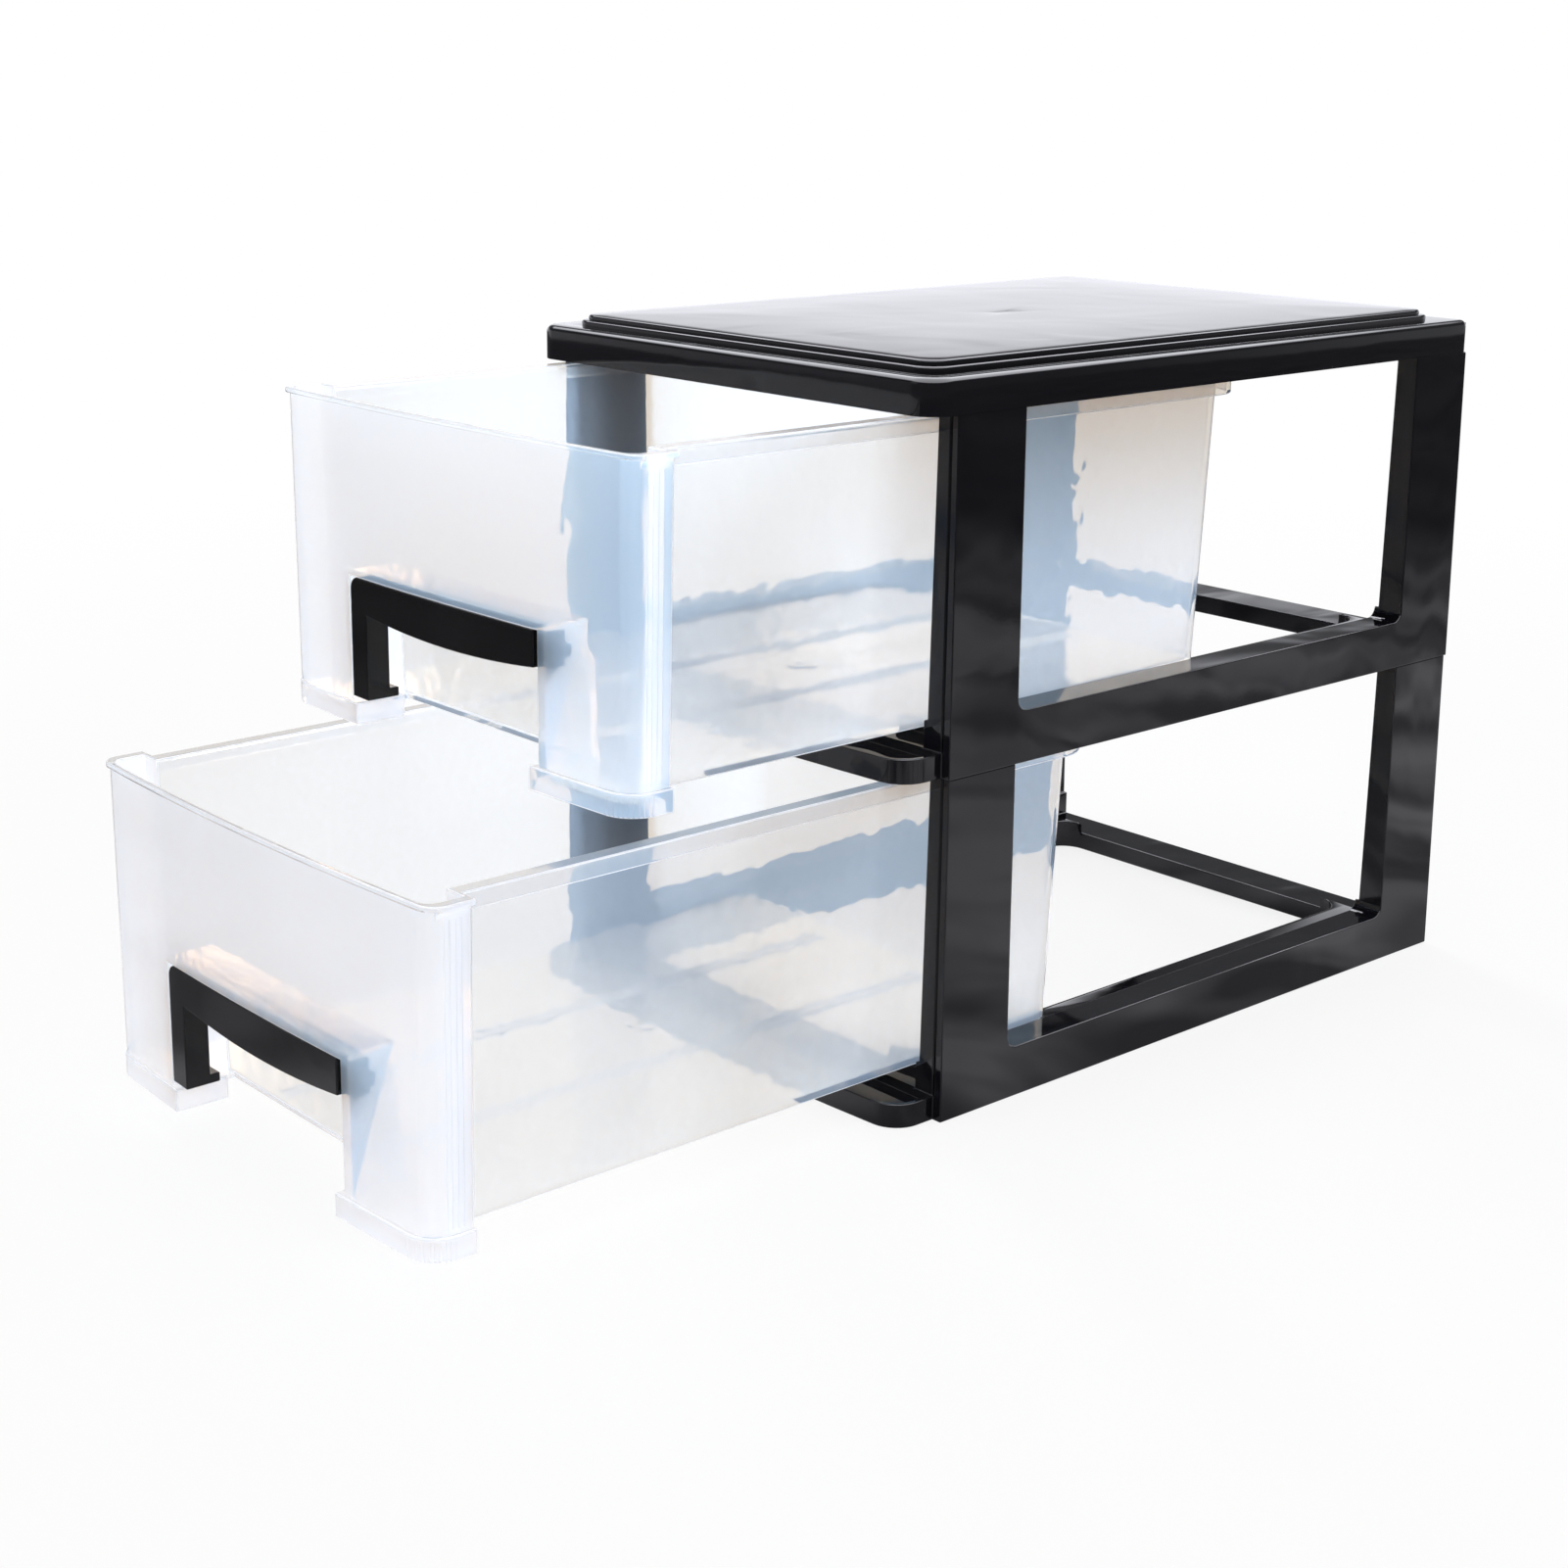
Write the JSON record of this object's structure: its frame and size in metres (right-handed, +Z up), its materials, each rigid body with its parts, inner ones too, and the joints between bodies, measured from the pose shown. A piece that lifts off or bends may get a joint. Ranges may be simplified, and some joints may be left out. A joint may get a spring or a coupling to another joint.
{
  "type": "drawer tower",
  "caption": "Free-standing desktop drawer tower: black stacking frames with open sides, a raised-panel cover and translucent pull-out drawers with black hooked handles",
  "frame": {"origin": "on the table, in the middle of the foot of the base's rear wall", "axes": "+Z up, +X to the right seen from the front, -Y towards the front, the way the drawers pull out"},
  "size_m": [0.194, 0.4495, 0.24],
  "materials": {
    "black_gloss": "moulded black polystyrene, glossy, faintly rippled by sink and flow marks",
    "clear_drawer": "natural polypropylene, translucent and slightly milky, glossy",
    "black_handle": "moulded black plastic, semi-gloss"
  },
  "bodies": {
    "tower": {"lower_frame": "black_gloss", "upper_frame": "black_gloss", "top_cover": "black_gloss"},
    "upper_drawer": {"upper_drawer": "clear_drawer", "upper_handle": "black_handle"},
    "lower_drawer": {"lower_drawer": "clear_drawer", "lower_handle": "black_handle"}
  },
  "joints": [
    {"name": "upper_drawer_slide", "type": "slide", "parent": "tower", "child": "upper_drawer", "axis": [0, -1, 0], "range_m": [-0.102, 0.108]},
    {"name": "lower_drawer_slide", "type": "slide", "parent": "tower", "child": "lower_drawer", "axis": [0, -1, 0], "range_m": [-0.171, 0.039]}
  ]
}
